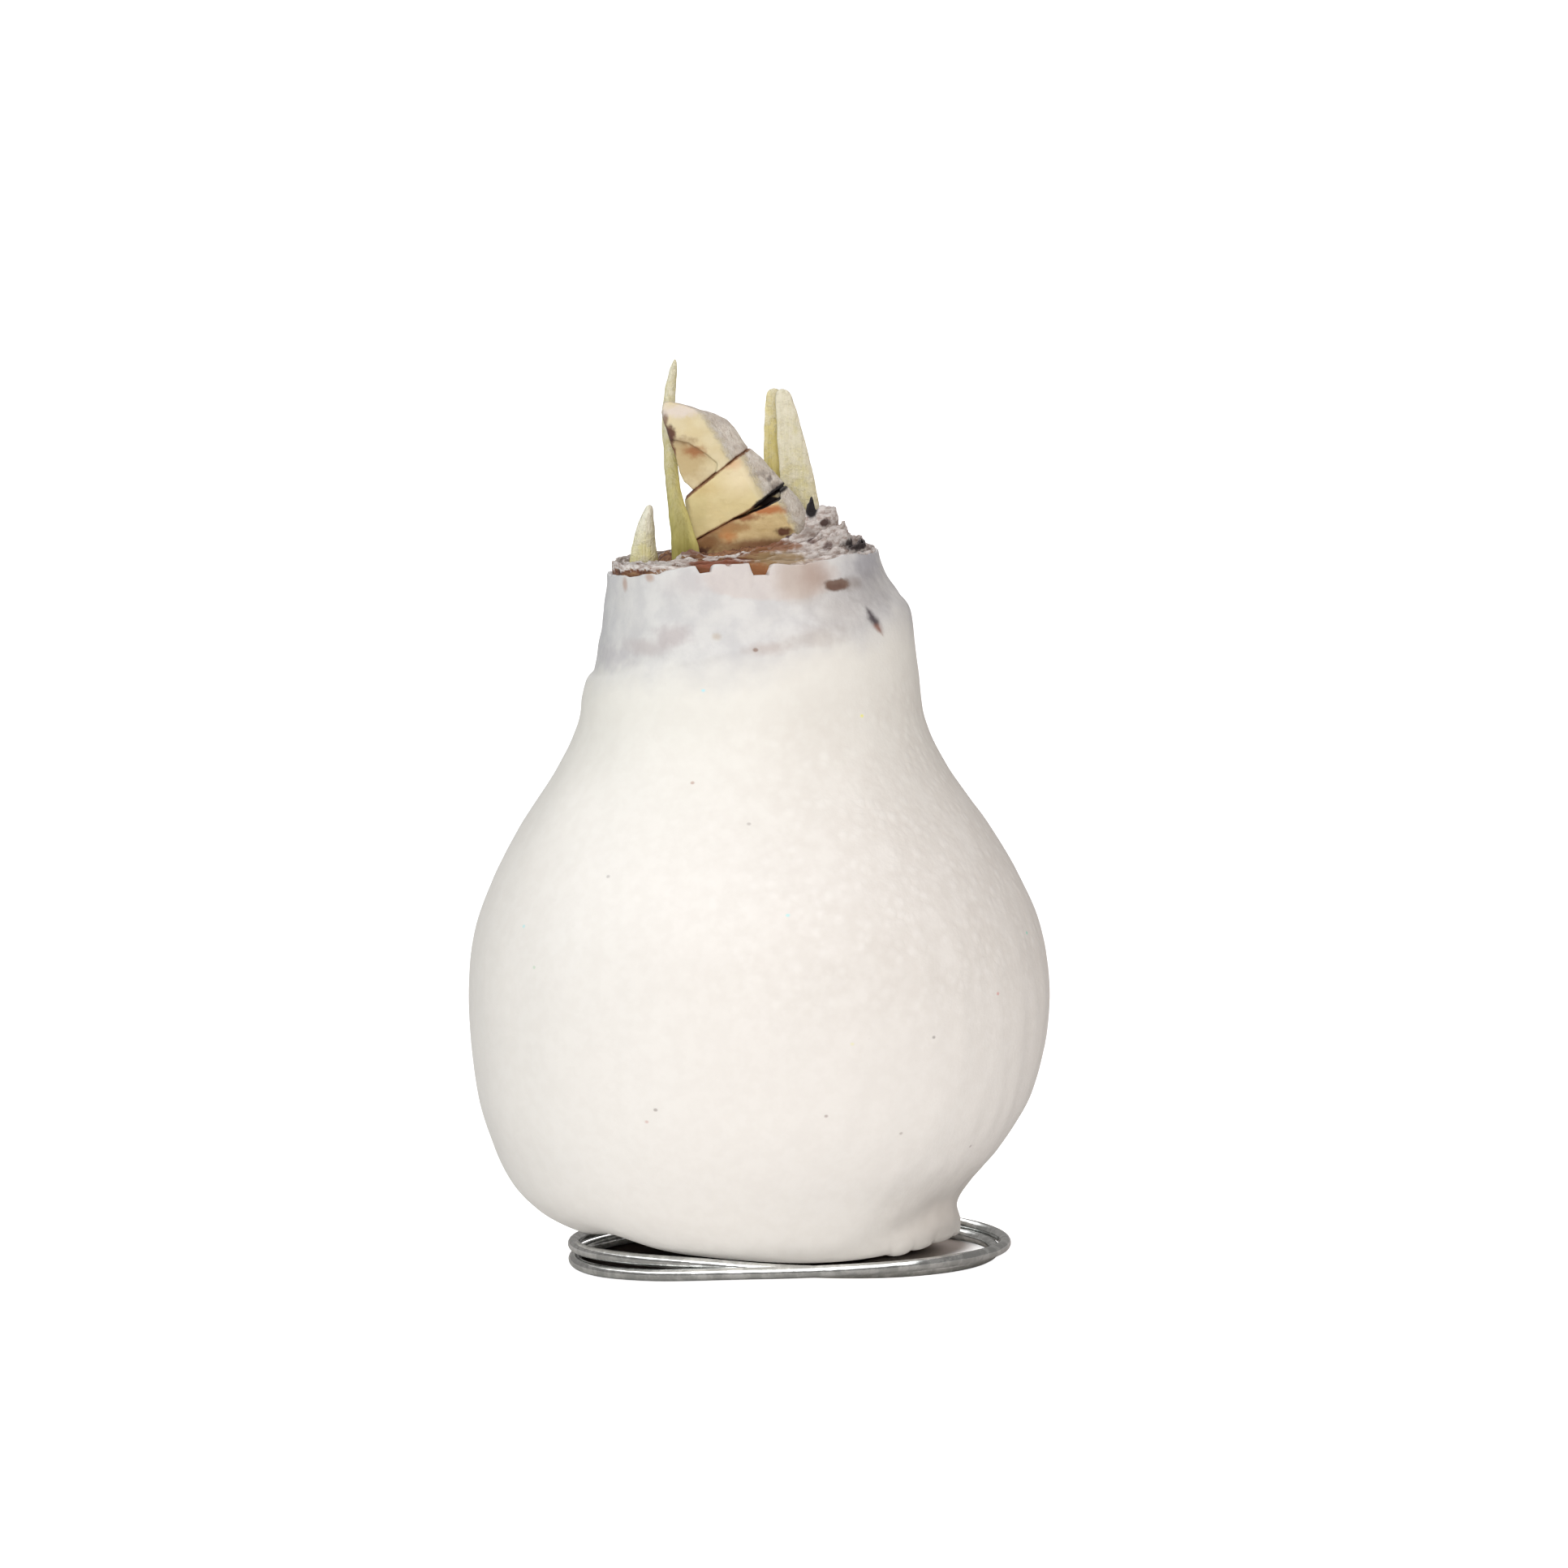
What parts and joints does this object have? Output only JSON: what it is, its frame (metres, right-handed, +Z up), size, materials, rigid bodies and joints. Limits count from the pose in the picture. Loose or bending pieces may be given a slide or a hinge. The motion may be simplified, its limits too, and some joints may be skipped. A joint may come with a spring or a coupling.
{
  "type": "waxed amaryllis bulb",
  "caption": "A waxed amaryllis bulb starting to sprout, standing upright on a coiled wire stand that pegs into its base.",
  "frame": {"origin": "On the surface that the wire coil stands on, under the middle of the bulb's widest round.", "axes": "+Z is up along the bulb's axis; -Y is the front, where the cut leaf bases face; +X is to the right seen from the front."},
  "size_m": [0.086, 0.086, 0.134],
  "materials": {
    "wire": "polished",
    "wax": "satin",
    "flesh": "matte",
    "skin": "matte",
    "leaf": "satin",
    "cut": "matte"
  },
  "bodies": {
    "root": {"wire_stand": "wire", "wax_coat": "wax", "bulb": "flesh", "neck_tunics": "skin", "leaf_left": "leaf", "leaf_mid": "leaf", "leaf_right_inner": "leaf", "leaf_right_outer": "leaf", "cut_base_low": "cut", "cut_base_mid": "cut", "cut_base_top": "cut"}
  },
  "joints": []
}
